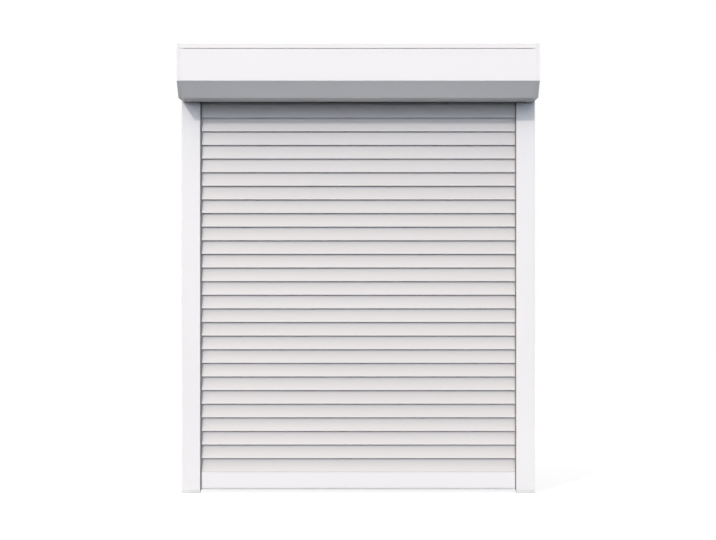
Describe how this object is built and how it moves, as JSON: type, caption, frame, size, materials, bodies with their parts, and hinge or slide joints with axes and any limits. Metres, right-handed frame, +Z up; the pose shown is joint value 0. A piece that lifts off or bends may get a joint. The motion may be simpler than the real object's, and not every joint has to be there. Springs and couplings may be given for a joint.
{
  "type": "exterior roller shutter",
  "caption": "White exterior roller shutter: a wall box with a slanted front, two guide rails and a curtain of hooked slats that winds onto a motor-driven octagonal tube.",
  "frame": {"origin": "bottom centre of the whole shutter: on the sill plane, halfway across the width and halfway between the wall and the front of the box", "axes": "+Z up, +X to the right seen from the street, +Y towards the wall, so the front faces -Y"},
  "size_m": [1.01, 0.15, 1.263],
  "materials": {
    "white_coat": "satin",
    "slat_coat": "satin",
    "zinc_steel": "satin",
    "galvanised_steel": "satin",
    "seal_rubber": "matte",
    "pale_plastic": "matte",
    "grey_plastic": "matte",
    "bush_brass": "satin",
    "motor_coat": "satin"
  },
  "bodies": {
    "housing": {"rear_shell": "white_coat", "inspection_cover": "white_coat", "end_cap_left": "white_coat", "end_cap_right": "white_coat", "cover_screws": "zinc_steel", "cable_grommet": "seal_rubber", "rail_left": "white_coat", "rail_right": "white_coat", "rail_cover_left": "white_coat", "rail_cover_right": "white_coat", "rail_foot_left": "pale_plastic", "rail_foot_right": "pale_plastic", "rail_seals": "seal_rubber", "inlet_guide_left": "grey_plastic", "inlet_guide_right": "grey_plastic", "bearing_bracket": "galvanised_steel", "idler_bush": "bush_brass", "motor_bracket": "galvanised_steel", "motor_head": "grey_plastic", "motor_body": "motor_coat", "bracket_screws": "zinc_steel"},
    "tube": {"winding_tube": "galvanised_steel", "tube_end_plug": "grey_plastic", "idler_pin": "zinc_steel", "drive_wheel": "grey_plastic", "output_shaft": "zinc_steel", "crown_ring": "grey_plastic", "hanger_straps": "galvanised_steel"},
    "curtain": {"bottom_bar": "white_coat", "bar_end_plugs": "grey_plastic", "bottom_seal": "pale_plastic", "slat_end_locks": "grey_plastic", "slat_01": "slat_coat", "slat_02": "slat_coat", "slat_03": "slat_coat", "slat_04": "slat_coat", "slat_05": "slat_coat", "slat_06": "slat_coat", "slat_07": "slat_coat", "slat_08": "slat_coat", "slat_09": "slat_coat", "slat_10": "slat_coat", "slat_11": "slat_coat", "slat_12": "slat_coat", "slat_13": "slat_coat", "slat_14": "slat_coat", "slat_15": "slat_coat", "slat_16": "slat_coat", "slat_17": "slat_coat", "slat_18": "slat_coat", "slat_19": "slat_coat", "slat_20": "slat_coat", "slat_21": "slat_coat", "slat_22": "slat_coat", "slat_23": "slat_coat", "slat_24": "slat_coat", "slat_25": "slat_coat", "slat_26": "slat_coat", "slat_27": "slat_coat", "slat_28": "slat_coat"}
  },
  "joints": [
    {"name": "curtain_lift", "type": "slide", "parent": "housing", "child": "curtain", "axis": [0, 0, 1], "range_m": [0, 1.05], "deforming": ["slat_01", "slat_02", "slat_03", "slat_04", "slat_05", "slat_06", "slat_07", "slat_08", "slat_09", "slat_10", "slat_11", "slat_12", "slat_13", "slat_14", "slat_15", "slat_16", "slat_17", "slat_18", "slat_19", "slat_20", "slat_21", "slat_22", "slat_23", "slat_24", "slat_25", "slat_26", "slat_27", "slat_28", "slat_end_locks"]},
    {"name": "tube_spin", "type": "hinge", "parent": "housing", "child": "tube", "pos_m": [0, 0, 1.19], "axis": [1, 0, 0], "range_deg": [0, 1260], "deforming": ["hanger_straps"]}
  ],
  "couplings": [
    {"joint": "tube_spin", "follows": "curtain_lift", "rad_per_m": 20.94}
  ]
}
